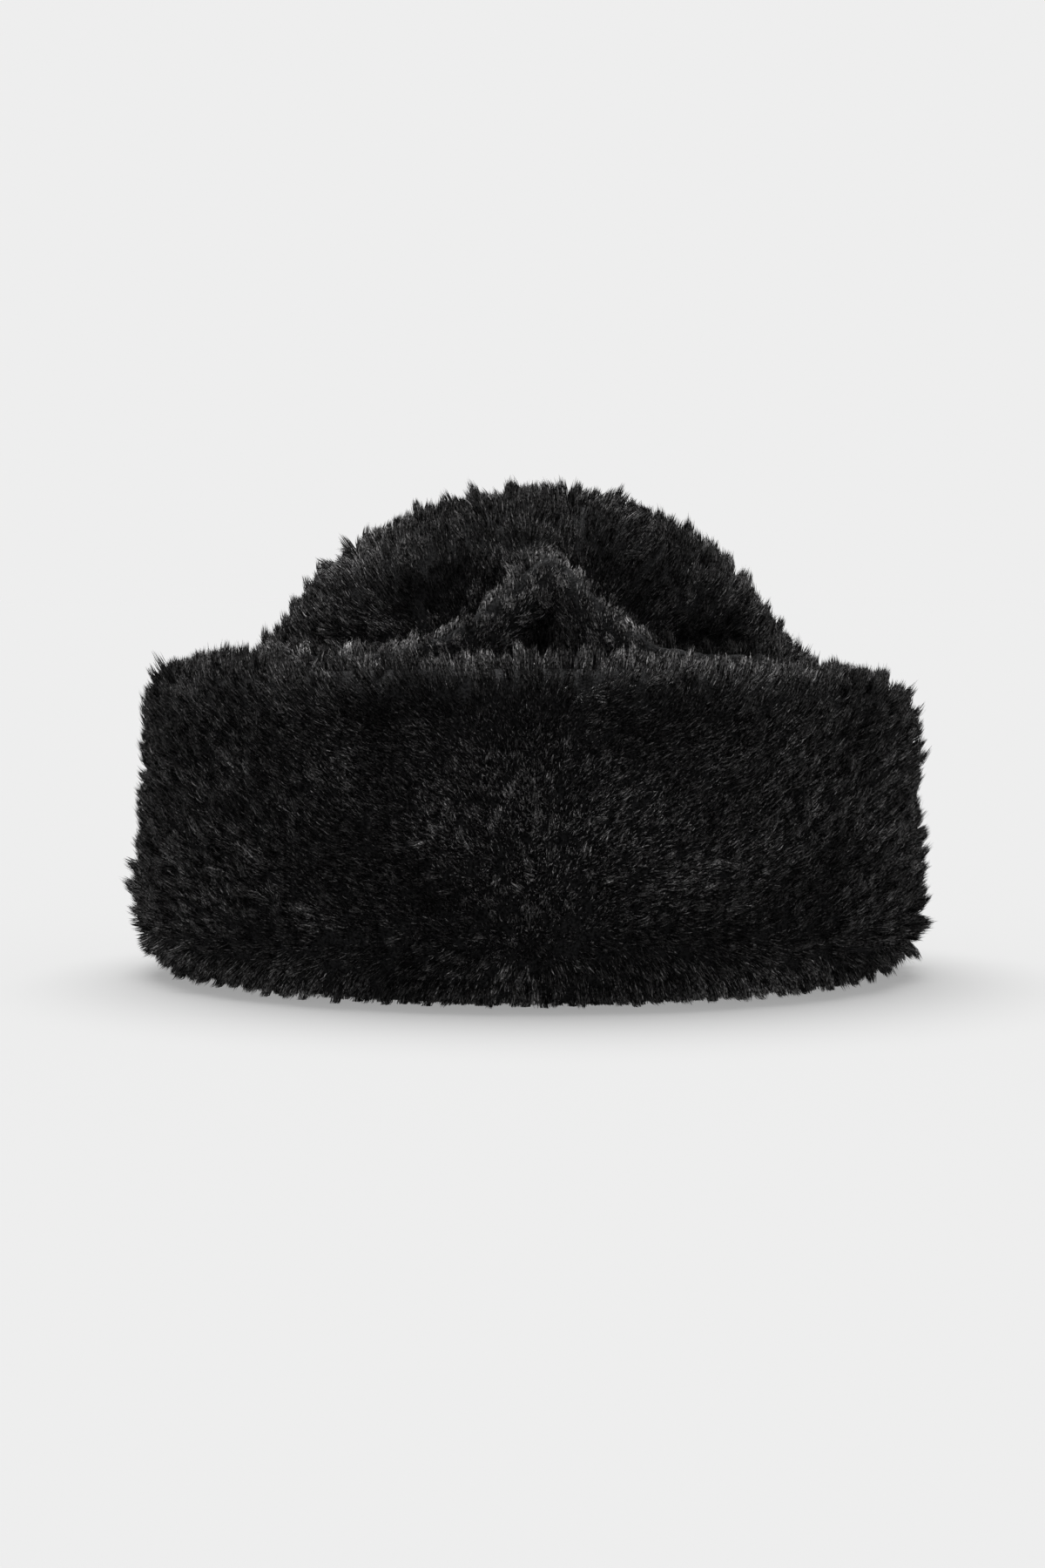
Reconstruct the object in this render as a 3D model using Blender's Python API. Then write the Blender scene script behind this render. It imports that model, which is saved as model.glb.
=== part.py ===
"""A black fur beanie: a domed crown sewn from two halves, and a tall padded cuff, also in two halves,
that turns up round it. The pile stands out of every visible face as locks, and lies flat where the
beanie rests. +Z is up, the front is towards -Y, and the origin is under the middle, on the floor.
Sizes are in millimetres until point() turns them into metres."""

import math
import random

import bmesh
import bpy
from mathutils import Vector

MILLIMETRE = 0.001
SEED = 7

# The crown's fabric, measured on its outer face, without the pile
CROWN_HALF_WIDTH = 97.0
CROWN_HALF_DEPTH = 92.0
CROWN_MIDDLE_HEIGHT = 73.0
DOME_RISE = 96.0
CROWN_FOOT = 13.4
FABRIC = 3.0
CROWN_CELLS = 14  # cells of the dome from its seam to its side
CROWN_WALL_ROWS = 2

# The pile, measured out from the fabric
PRESSED_PILE = 3.6
CROWN_LOCK = 8.5
CROWN_LOCK_LEAN = 5.0
CROWN_LOCKS_FROM = 108.0  # height from which the crown shows over the cuff
LOCK_SPREAD = 0.16  # how much a lock's length varies, as a share

# The crown's fold: a ridge like a tent over the front, with a dent on each side of the seam above it
# and a shallow panel drawn in under it
RIDGE_FOOT = 112.5
RIDGE_PEAK = 34.0
RIDGE_MIDDLE = 4.0
RIDGE_REACH = 28.5
RIDGE_SWELL = 5.0
RIDGE_SWELL_WIDTH = 7.0
DENT_DEPTH = 46.0
DENT_EDGE = 6.0
DENT_FADE = 1.5
DENT_SIDE_FADE = 26.0
SEAM_HOLD = 0.72
SEAM_HOLD_WIDTH = 9.0
PANEL_DEPTH = 9.0
PANEL_BELOW = 7.0
PANEL_RISE = 9.0
PANEL_WIDTH = 19.0
PANEL_FOOT = 100.0
FRONT_FADE = 46.0  # how far in front of the middle the ridge and the panel reach full strength
CREST_ROW = 7  # the row of cells, from the middle, that runs along the ridge
CREST_ENDS = 0.55  # how far across the square the crest is followed
HALVINGS = 24

SEAM_GAP = 0.6
CUFF_COLUMNS = 26  # locks from the front seam to the back seam
CUFF_LOCK_LEAN = 6.5
CUFF_SIDE_LEAN = 0.5  # the share of that lean which goes round the cuff, away from the front seam
SEAM_CLEAR = 1.0  # the least distance of a lock's tip from the seam's plane
FLOOR_CLEAR = 0.4  # and from the floor

# The cuff's section, from the seat under the crown's edge round the outside and back down behind
# the fold. width and depth are the half sizes of the oval at that station, height its height at the
# front, lock the length of its pile, and rise the share of the pile's lean that goes up.
SEAT = 13.0
CUFF_TOP = 114.0
CUFF_SIDE_DROP = 9.5
FACE_ROWS = 9
FACE_FROM = 20.0
FACE_TO = 95.0
FACE_HALF_WIDTH = 139.0
FACE_HALF_DEPTH = 121.5
FACE_SLOPE = 3.0  # how much the face draws in towards its top
FACE_LOCK = 6.0
REST_STATIONS = (
    # name, width, depth, height, lock, rise
    ("seat_inner", 94.0, 89.0, SEAT, 0.0, 0.0),
    ("mouth", 93.0, 88.0, 6.0, 0.0, 0.0),
    ("rest_inner", 98.0, 93.0, 0.0, 0.0, 0.0),
    ("rest_middle", 111.0, 103.0, 0.0, 0.0, 0.0),
    ("rest_outer", 125.0, 112.0, 0.0, 0.0, 0.0),
    ("turn_low", 134.0, 117.5, 4.0, 4.5, -0.5),
    ("turn", 138.5, 120.5, 11.0, 6.0, -0.3),
)
TOP_STATIONS = (
    ("shoulder_low", 136.0, 118.8, 104.0, 6.0, 0.9),
    ("shoulder", 133.5, 116.5, 110.5, 6.0, 1.0),
    ("top_outer", 127.5, 111.5, CUFF_TOP, 5.5, 1.0),
    ("top_inner", 119.0, 105.5, 113.5, 5.0, 1.0),
    ("back_shoulder", 113.5, 102.0, 107.0, 2.5, 1.0),
    ("back_high", 111.0, 100.5, 93.0, 0.0, 0.0),
    ("back_low", 110.5, 99.5, 40.0, 0.0, 0.0),
    ("seat_outer", 102.0, 97.0, SEAT, 0.0, 0.0),
)

PILE_BLACK = (0.012, 0.012, 0.013, 1.0)
PILE_ROUGHNESS = 0.85


def clear_scene():
    """Removes whatever the scene starts with."""
    for thing in list(bpy.data.objects):
        bpy.data.objects.remove(thing)


def point(x, y, z):
    """A point given in millimetres, in metres."""
    return Vector((x, y, z)) * MILLIMETRE


def smooth(share):
    """An S curve from 0 to 1, flat at both ends."""
    share = min(1.0, max(0.0, share))
    return share * share * (3.0 - 2.0 * share)


def fur_material(name):
    """The plain finish of one piece's pile."""
    material = bpy.data.materials.new(f"{name}_pile")
    material.use_nodes = True
    shader = material.node_tree.nodes["Principled BSDF"]
    shader.inputs["Base Color"].default_value = PILE_BLACK
    shader.inputs["Roughness"].default_value = PILE_ROUGHNESS
    shader.inputs["Metallic"].default_value = 0.0
    return material


def ridge_height(x):
    """Height of the fold's ridge at a distance x from the seam."""
    return RIDGE_FOOT + RIDGE_PEAK * math.exp(-(((x - RIDGE_MIDDLE) / RIDGE_REACH) ** 2))


def crown_sink(x, y, z):
    """How far the fabric lies inside the plain dome there, in millimetres."""
    if y >= 0.0:
        return 0.0
    skyline = CROWN_MIDDLE_HEIGHT + DOME_RISE * math.sqrt(max(0.0, 1.0 - (x / CROWN_HALF_WIDTH) ** 2))
    ridge = ridge_height(x)
    room = skyline - ridge
    held = 1.0 - SEAM_HOLD * math.exp(-((x / SEAM_HOLD_WIDTH) ** 2))
    sink = 0.0
    if z > ridge and room > 0.0:
        above = min(1.0, (z - ridge) / room)
        shape = (1.0 - (1.0 - above) ** DENT_EDGE) * (1.0 - above) ** DENT_FADE
        sink += DENT_DEPTH * shape * held * smooth(room / DENT_SIDE_FADE)
    front = smooth(-y / FRONT_FADE)
    sink -= RIDGE_SWELL * front * math.exp(-(((z - ridge) / RIDGE_SWELL_WIDTH) ** 2))
    under = smooth((ridge - z - PANEL_BELOW) / PANEL_RISE) * smooth((z - PANEL_FOOT) / PANEL_RISE)
    return sink + PANEL_DEPTH * front * under * math.exp(-((x / PANEL_WIDTH) ** 2))


def dome_point(across, along):
    """A point of the plain dome, in millimetres.

    across and along run from -1 to 1 over a square that covers the dome, side to side and front to
    back."""
    disc_x = across * math.sqrt(1.0 - along * along / 2.0)
    disc_y = along * math.sqrt(1.0 - across * across / 2.0)
    lean = min(1.0, math.hypot(disc_x, disc_y)) * math.pi / 2.0
    turn = math.atan2(disc_x, -disc_y)
    x = CROWN_HALF_WIDTH * math.sin(lean) * math.sin(turn)
    y = -CROWN_HALF_DEPTH * math.sin(lean) * math.cos(turn)
    return x, y, CROWN_MIDDLE_HEIGHT + DOME_RISE * math.cos(lean)


def crest(across):
    """How far along the square the ridge's crest lies on a column of cells, found by halving."""
    low, high = 0.0, 1.0
    for _ in range(HALVINGS):
        middle = (low + high) / 2.0
        x, _, z = dome_point(across, -middle)
        low, high = (middle, high) if z > ridge_height(x) else (low, middle)
    return low


def crown_place(column, row, below, out):
    """A point of the crown and the way out there.

    column and row count cells from the seam to the side and from the middle to the back, with the
    rows drawn together so that one of them runs along the crest; below is how far the point lies
    under the dome, on the wall; out is its distance outside the fabric's outer face."""
    across = column / CROWN_CELLS
    along = row / CROWN_CELLS
    if row < 0.0:
        reach = crest(max(-CREST_ENDS, min(CREST_ENDS, across)))
        past = (-row - CREST_ROW) / (CROWN_CELLS - CREST_ROW)
        along = -reach - (1.0 - reach) * past if past > 0.0 else reach * row / CREST_ROW
    x, y, z = dome_point(across, along)
    way = Vector(
        (x / CROWN_HALF_WIDTH**2, y / CROWN_HALF_DEPTH**2, (z - CROWN_MIDDLE_HEIGHT) / DOME_RISE**2)
    ).normalized()
    place = Vector((x, y, z - below)) + way * (out - crown_sink(x, y, z))
    return place, way


class Solid:
    """One closed mesh, built corner by corner."""

    def __init__(self, name, side):
        self.name = name
        self.side = side
        self.mesh = bmesh.new()

    def corner(self, place, clear=SEAM_GAP / 2.0):
        """A vertex at place, kept clear of the seam's plane."""
        x = self.side * max(clear, self.side * place.x)
        return self.mesh.verts.new(point(x, place.y, place.z))

    def patch(self, corners):
        """A face, with a corner that comes twice left out."""
        kept = [v for n, v in enumerate(corners) if v is not corners[n - 1]]
        if len(kept) > 2:
            self.mesh.faces.new(kept)

    def lock(self, corners, tip):
        """A lock of pile: a fan of faces from its root's corners to its tip."""
        for n, corner in enumerate(corners):
            self.mesh.faces.new((corners[n - 1], corner, tip))

    def finish(self):
        """Puts the mesh in the scene as an object with its own material."""
        bmesh.ops.recalc_face_normals(self.mesh, faces=self.mesh.faces)
        bmesh.ops.triangulate(self.mesh, faces=self.mesh.faces)
        data = bpy.data.meshes.new(self.name)
        self.mesh.to_mesh(data)
        self.mesh.free()
        data.materials.append(fur_material(self.name))
        made = bpy.data.objects.new(self.name, data)
        bpy.context.scene.collection.objects.link(made)
        return made


def crown_half(name, side, chance):
    """Half of the crown: fabric and pile, from the seam to the side, hollow inside."""
    solid = Solid(name, side)
    cells = CROWN_CELLS
    grid = [(i, j) for i in range(cells + 1) for j in range(-cells, cells + 1)]

    def sheet(out):
        """The corners of one face of the fabric, with the wall's rows under its edge."""
        dome = {(i, j): solid.corner(crown_place(side * i, j, 0.0, out)[0]) for i, j in grid}
        edge = [(i, -cells) for i in range(cells)]
        edge += [(cells, j) for j in range(-cells, cells)]
        edge += [(i, cells) for i in range(cells, -1, -1)]
        drop = (CROWN_MIDDLE_HEIGHT - CROWN_FOOT) / CROWN_WALL_ROWS
        wall = [[dome[key] for key in edge]]
        for row in range(1, CROWN_WALL_ROWS + 1):
            wall.append([solid.corner(crown_place(side * i, j, row * drop, out)[0]) for i, j in edge])
        return dome, wall

    outer, outer_wall = sheet(PRESSED_PILE)
    inner, inner_wall = sheet(-FABRIC)

    for i in range(cells):
        for j in range(-cells, cells):
            keys = ((i, j), (i + 1, j), (i + 1, j + 1), (i, j + 1))
            solid.patch([inner[key] for key in keys])
            corners = [outer[key] for key in keys]
            place, way = crown_place(side * (i + 0.5), j + 0.5, 0.0, PRESSED_PILE)
            if place.z < CROWN_LOCKS_FROM:
                solid.patch(corners)
                continue
            length = CROWN_LOCK * (1.0 + LOCK_SPREAD * chance.uniform(-1.0, 1.0))
            up = Vector((0.0, 0.0, 1.0)) - way * way.z
            tip = place + way * length + up * CROWN_LOCK_LEAN
            solid.lock(corners, solid.corner(tip, SEAM_CLEAR))

    for wall in (outer_wall, inner_wall):
        for upper, lower in zip(wall, wall[1:]):
            for n in range(len(upper) - 1):
                solid.patch([upper[n], upper[n + 1], lower[n + 1], lower[n]])

    rim = list(zip(outer_wall[-1], inner_wall[-1]))
    for (a, b), (c, d) in zip(rim, rim[1:]):
        solid.patch([a, c, d, b])
    front = [(rows[0][0], rows[1][0]) for rows in zip(outer_wall, inner_wall)]
    back = [(rows[0][-1], rows[1][-1]) for rows in zip(outer_wall, inner_wall)]
    top = [(outer[0, j], inner[0, j]) for j in range(-cells, cells + 1)]
    for strip in (front, back, top):
        for (a, b), (c, d) in zip(strip, strip[1:]):
            solid.patch([a, c, d, b])
    return solid.finish()


def cuff_stations():
    """The cuff's whole section: what rests, then the face's rows, then what turns in at the top."""
    face = []
    for row in range(FACE_ROWS):
        share = row / (FACE_ROWS - 1)
        inset = FACE_SLOPE * share**2
        width = FACE_HALF_WIDTH - inset
        depth = FACE_HALF_DEPTH - inset
        height = FACE_FROM + (FACE_TO - FACE_FROM) * share
        face.append((f"face_{row}", width, depth, height, FACE_LOCK, share))
    return REST_STATIONS + tuple(face) + TOP_STATIONS


def cuff_place(station, share, side):
    """A point of the cuff's face at a station, share of the way from the front seam to the back."""
    _, width, depth, height, _, _ = station
    turn = math.pi * share
    drop = CUFF_SIDE_DROP * math.sin(turn) ** 2 * max(0.0, height - SEAT) / (CUFF_TOP - SEAT)
    return Vector((side * width * math.sin(turn), -depth * math.cos(turn), height - drop))


def cuff_half(name, side, chance):
    """Half of the cuff, from the front seam round the side to the back seam.

    Its corners lie on rows that are half a lock apart in turn, so that each lock stands on a
    diamond of four corners, between its neighbours in the rows above and below."""
    solid = Solid(name, side)
    columns = CUFF_COLUMNS
    stations = cuff_stations()
    count = len(stations)
    rows = []
    for number, station in enumerate(stations):
        shift = 0.5 * (number % 2)
        places = columns + 1 - number % 2
        rows.append([solid.corner(cuff_place(station, (n + shift) / columns, side)) for n in range(places)])
    seams = {
        end: [
            solid.corner(cuff_place(station, -end, side)) if number % 2 else rows[number][end]
            for number, station in enumerate(stations)
        ]
        for end in (0, -1)
    }

    for number, station in enumerate(stations):
        row, before, after = rows[number], rows[number - 1], rows[(number + 1) % count]
        odd = number % 2
        for n in range(columns - odd):
            low, high = before[n + odd], after[n + odd]
            corners = [row[n], low, row[n + 1], high]
            lock = station[4]
            if lock == 0.0:
                solid.patch([row[n], low, row[n + 1]])
                solid.patch([row[n], row[n + 1], high])
                continue
            centre = cuff_place(station, (n + 0.5 + 0.5 * odd) / columns, side)
            along = (row[n + 1].co - row[n].co).normalized() * side
            up = (high.co - low.co).normalized()
            way = along.cross(up).normalized()
            length = lock * (1.0 + LOCK_SPREAD * chance.uniform(-1.0, 1.0))
            rise = station[5]
            level = CUFF_SIDE_LEAN * (1.0 - abs(rise)) * side
            lean = (up * rise + along * level) * CUFF_LOCK_LEAN
            tip = centre + way * length + lean
            tip.z = max(FLOOR_CLEAR, tip.z)
            solid.lock(corners, solid.corner(tip, SEAM_CLEAR))
        if odd:
            for end in (0, -1):
                solid.patch([before[end], row[end], seams[end][number]])
                solid.patch([row[end], after[end], seams[end][number]])

    for seam in seams.values():
        solid.patch(seam)
    return solid.finish()


def main():
    """Builds the four sewn panels."""
    clear_scene()
    chance = random.Random(SEED)
    crown_half("crown_left", -1, chance)
    crown_half("crown_right", 1, chance)
    cuff_half("cuff_left", -1, chance)
    cuff_half("cuff_right", 1, chance)


main()
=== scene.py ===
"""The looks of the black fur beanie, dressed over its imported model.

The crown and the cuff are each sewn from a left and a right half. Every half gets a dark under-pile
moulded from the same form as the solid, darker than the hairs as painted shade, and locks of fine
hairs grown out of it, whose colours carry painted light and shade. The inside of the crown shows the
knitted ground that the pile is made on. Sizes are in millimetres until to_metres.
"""

import logging
import math
from dataclasses import dataclass, field, fields
from enum import Enum
from typing import Sequence

import bpy
import numpy as np
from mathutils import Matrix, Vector

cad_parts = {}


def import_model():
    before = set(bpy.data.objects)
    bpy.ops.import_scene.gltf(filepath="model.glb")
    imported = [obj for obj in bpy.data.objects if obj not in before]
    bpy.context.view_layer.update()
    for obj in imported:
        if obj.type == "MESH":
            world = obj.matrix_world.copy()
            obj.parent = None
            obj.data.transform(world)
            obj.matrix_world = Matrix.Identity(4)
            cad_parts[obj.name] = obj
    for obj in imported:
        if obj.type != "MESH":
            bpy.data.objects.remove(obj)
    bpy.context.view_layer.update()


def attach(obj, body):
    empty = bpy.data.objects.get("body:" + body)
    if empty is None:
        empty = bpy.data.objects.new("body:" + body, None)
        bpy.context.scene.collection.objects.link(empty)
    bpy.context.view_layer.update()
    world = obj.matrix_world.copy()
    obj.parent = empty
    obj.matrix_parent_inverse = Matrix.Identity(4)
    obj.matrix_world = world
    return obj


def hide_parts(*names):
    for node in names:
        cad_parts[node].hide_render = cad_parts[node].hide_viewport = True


LOG = logging.getLogger("beanie")
MILLIMETRE = 0.001
SEED = 20
BAKE_MAP = "OFBake"
KNIT_MAP = "knit"
BODY = "root"
# Places thrown for each square of the spacing, and the share of such a square that one lock takes.
THROWS = 9.0
LOCK_PACKING = 0.78
# The shortest pile that is grown, in millimetres, and how far along a hair its bend is.
LEAST_LENGTH = 0.8
KNEE = 0.8
# On the map for baking, a hair is a thin strip that lies at its tone.
HAIR_MARGIN = 0.02
HAIR_TONES = 0.92
HAIR_STRIP = 0.025
GRID_MARGIN = 0.01
# How much closer or wider a drift's waves are than its usual one, and what keeps their sum near 1.
WAVE_RANGE = (0.6, 1.6)
WAVE_REACH = 1.6
# The width of one band of a wave texture at scale 1.
BAND = math.pi / 10.0

Array = np.ndarray
Colour = tuple[float, float, float]


class Half(Enum):
    """Which side of the middle seam a piece is on."""

    LEFT = -1
    RIGHT = 1

    @property
    def label(self) -> str:
        """The word used in the names of pieces."""
        return self.name.lower()


def turned(grid: Array, step: int, axis: int = 0) -> Array:
    """The grid, with an axis in reverse order where the step is -1."""
    return np.flip(grid, axis) if step < 0 else grid


def to_metres(points: Array) -> Array:
    """Points given in millimetres, in metres."""
    return np.asarray(points, float) * MILLIMETRE


def unit(vectors: Array) -> Array:
    """Each vector made one long."""
    return vectors / np.maximum(np.linalg.norm(vectors, axis=-1, keepdims=True), 1e-9)


def smooth(share: Array) -> Array:
    """An S curve from 0 to 1, flat at both ends."""
    share = np.clip(share, 0.0, 1.0)
    return share * share * (3.0 - 2.0 * share)


@dataclass(frozen=True)
class Ramp:
    """A smooth change from 0 to 1, from a start over a distance that may run the other way."""

    start: float
    over: float

    def at(self, values: Array) -> Array:
        """The share reached at each value."""
        return smooth((values - self.start) / self.over)


@dataclass(frozen=True)
class Hump:
    """A soft hump of height 1 round a middle."""

    middle: float
    width: float

    def at(self, values: Array) -> Array:
        """The hump's height at each value."""
        return np.exp(-(((values - self.middle) / self.width) ** 2))


class Drift:
    """A slow, repeatable variation in space, made of a few sine waves."""

    def __init__(self, seed: int, wavelength: float, waves: int = 7) -> None:
        """Chooses the waves.

        Args:
            seed: which variation it is.
            wavelength: its usual wavelength in millimetres.
            waves: how many sine waves it adds up.
        """
        rng = np.random.default_rng(seed)
        ways = unit(rng.normal(size=(waves, 3)))
        self.ways = ways * (2.0 * math.pi / wavelength) * rng.uniform(*WAVE_RANGE, (waves, 1))
        self.phases = rng.uniform(0.0, 2.0 * math.pi, waves)

    def at(self, points: Array) -> Array:
        """The variation at each point, mostly between -1 and 1."""
        total = np.sin(points @ self.ways.T + self.phases).sum(axis=-1)
        return total / math.sqrt(len(self.phases) / 2.0) / WAVE_REACH


def plain_material(name: str, roughness: float) -> tuple[bpy.types.Material, bpy.types.Node]:
    """A material with one Principled shader.

    Args:
        name: the material's name.
        roughness: the shader's roughness.

    Returns:
        The material and its shader.
    """
    made = bpy.data.materials.new(name)
    made.use_nodes = True
    shader = made.node_tree.nodes["Principled BSDF"]
    shader.inputs["Roughness"].default_value = roughness
    return made, shader


def add_node(made: bpy.types.Material, kind: str, **settings: float) -> bpy.types.Node:
    """Adds a node to a material.

    Args:
        made: the material.
        kind: the node's kind, without ShaderNode.
        settings: values for its sockets, each named as the socket with _ for a space.

    Returns:
        The node.
    """
    node = made.node_tree.nodes.new(f"ShaderNode{kind}")
    for name, value in settings.items():
        node.inputs[name.replace("_", " ")].default_value = value
    return node


def two_colours(
    made: bpy.types.Material, low: Colour, high: Colour, start: float, end: float
) -> bpy.types.Node:
    """Adds a node that turns a share into a blend of two colours.

    Args:
        made: the material.
        low: the colour up to the start.
        high: the colour from the end.
        start: the share where the blend starts.
        end: the share where it ends.

    Returns:
        The node.
    """
    node = add_node(made, "ValToRGB")
    for element, colour, position in zip(node.color_ramp.elements, (low, high), (start, end)):
        element.color = (*colour, 1.0)
        element.position = position
    return node


@dataclass(frozen=True)
class Finish:
    """A finish, with a material of its own."""

    name: str
    roughness: float

    def material(self) -> bpy.types.Material:
        """Makes the material the first time, and gives it back each time it is asked for.

        Returns:
            The material.
        """
        made = bpy.data.materials.get(self.name)
        if made is None:
            made, shader = plain_material(self.name, self.roughness)
            self.dress(made, shader)
        return made

    def dress(self, made: bpy.types.Material, shader: bpy.types.Node) -> None:
        """Adds the finish's own nodes, in each finish's own way."""
        raise NotImplementedError


@dataclass(frozen=True)
class PileFinish(Finish):
    """The finish of the hairs: near-black, a little paler and browner towards the tips, and darker towards
    the roots, partly the hairs' own colour and partly painted shade deep in the pile.
    """

    name: str = "pile_hair"
    roughness: float = 0.45
    # The root colour is darker than the tip partly as painted shade deep in the pile.
    root: Colour = (0.011, 0.011, 0.0112)
    tip: Colour = (0.042, 0.041, 0.041)
    root_to: float = 0.3
    tone_low: float = 0.15
    tone_high: float = 5.9
    # These settings paint glints into the colour: a fine noise brightens and darkens it along the hairs, as
    # painted highlights.
    painted_glint: float = 1050.0
    glint_detail: float = 1.0
    glint_from: float = 0.4
    glint_to: float = 0.62
    glint_low: float = 0.05
    glint_high: float = 2.3
    specular: float = 0.06

    def dress(self, made: bpy.types.Material, shader: bpy.types.Node) -> None:
        """Adds the hairs' colour, which follows each hair's tone with its painted light and shade, and a
        painted glint over it.

        Args:
            made: the material.
            shader: its shader.
        """
        shader.inputs["Specular IOR Level"].default_value = self.specular
        along = add_node(made, "Attribute")
        along.attribute_name = "along"
        tone = add_node(made, "Attribute")
        tone.attribute_name = "tone"
        colour = two_colours(made, self.root, self.tip, self.root_to, 1.0)
        scale = add_node(made, "MapRange", To_Min=self.tone_low, To_Max=self.tone_high)
        place = add_node(made, "TexCoord")
        # Painted glint: fine noise in space that scales the colour, painted highlights along the hairs.
        painted_glint_noise = add_node(made, "TexNoise", Scale=self.painted_glint, Detail=self.glint_detail)
        painted_glint = add_node(
            made,
            "MapRange",
            From_Min=self.glint_from,
            From_Max=self.glint_to,
            To_Min=self.glint_low,
            To_Max=self.glint_high,
        )
        both = add_node(made, "Math")
        both.operation = "MULTIPLY"
        shade = add_node(made, "VectorMath")
        shade.operation = "SCALE"
        links = made.node_tree.links
        links.new(place.outputs["Object"], painted_glint_noise.inputs["Vector"])
        links.new(painted_glint_noise.outputs["Fac"], painted_glint.inputs["Value"])
        links.new(along.outputs["Fac"], colour.inputs["Fac"])
        links.new(tone.outputs["Fac"], scale.inputs["Value"])
        links.new(colour.outputs["Color"], shade.inputs[0])
        links.new(scale.outputs["Result"], both.inputs[0])
        links.new(painted_glint.outputs["Result"], both.inputs[1])
        links.new(both.outputs["Value"], shade.inputs["Scale"])
        links.new(shade.outputs["Vector"], shader.inputs["Base Color"])


@dataclass(frozen=True)
class UnderPileFinish(Finish):
    """The finish of the dense short pile that shows between the locks, kept darker than the hairs as painted
    shade deep in the pile.
    """

    name: str = "under_pile"
    roughness: float = 0.9
    # Both colours are darker than the hairs' colours, as painted shade between the locks.
    dark: Colour = (0.0015, 0.0015, 0.0016)
    light: Colour = (0.018, 0.018, 0.0185)
    dark_to: float = 0.35
    light_from: float = 0.7
    grain: float = 1100.0
    grain_detail: float = 3.0
    bump: float = 0.6
    bump_height: float = 0.001
    specular: float = 0.04

    def dress(self, made: bpy.types.Material, shader: bpy.types.Node) -> None:
        """Adds a fine grain between two colours, and the bumps that go with it.

        Args:
            made: the material.
            shader: its shader.
        """
        shader.inputs["Specular IOR Level"].default_value = self.specular
        place = add_node(made, "TexCoord")
        grain = add_node(made, "TexNoise", Scale=self.grain, Detail=self.grain_detail)
        colour = two_colours(made, self.dark, self.light, self.dark_to, self.light_from)
        bump = add_node(made, "Bump", Strength=self.bump, Distance=self.bump_height)
        links = made.node_tree.links
        links.new(place.outputs["Object"], grain.inputs["Vector"])
        links.new(grain.outputs["Fac"], colour.inputs["Fac"])
        links.new(grain.outputs["Fac"], bump.inputs["Height"])
        links.new(colour.outputs["Color"], shader.inputs["Base Color"])
        links.new(bump.outputs["Normal"], shader.inputs["Normal"])


@dataclass(frozen=True)
class KnitFinish(Finish):
    """The finish of the knitted ground on the inside: fine ribs and rows of charcoal loops."""

    name: str = "knit_ground"
    roughness: float = 0.8
    dark: Colour = (0.008, 0.008, 0.009)
    light: Colour = (0.045, 0.045, 0.048)
    wale: float = 1.6
    ribs: float = 2.0
    rib_wobble: float = 0.6
    rib_detail: float = 1.0
    rows: float = 2.6
    row_wobble: float = 0.8
    row_detail: float = 2.0
    bump: float = 0.5
    bump_height: float = 0.0006
    sheen: float = 0.25

    def dress(self, made: bpy.types.Material, shader: bpy.types.Node) -> None:
        """Adds the loops, which follow the sheet's own map in millimetres.

        Args:
            made: the material.
            shader: its shader.
        """
        shader.inputs["Sheen Weight"].default_value = self.sheen
        place = add_node(made, "UVMap")
        place.uv_map = KNIT_MAP
        loops = add_node(made, "Math")
        loops.operation = "MULTIPLY"
        links = made.node_tree.links
        bands = (
            ("X", self.ribs, self.rib_wobble, self.rib_detail),
            ("Y", self.rows, self.row_wobble, self.row_detail),
        )
        for socket, (way, each, wobble, detail) in enumerate(bands):
            scale = BAND / self.wale * each
            wave = add_node(made, "TexWave", Scale=scale, Distortion=wobble, Detail=detail)
            wave.wave_type = "BANDS"
            wave.bands_direction = way
            links.new(place.outputs["UV"], wave.inputs["Vector"])
            links.new(wave.outputs["Fac"], loops.inputs[socket])
        colour = two_colours(made, self.dark, self.light, 0.0, 1.0)
        bump = add_node(made, "Bump", Strength=self.bump, Distance=self.bump_height)
        links.new(loops.outputs["Value"], colour.inputs["Fac"])
        links.new(loops.outputs["Value"], bump.inputs["Height"])
        links.new(colour.outputs["Color"], shader.inputs["Base Color"])
        links.new(bump.outputs["Normal"], shader.inputs["Normal"])


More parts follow.
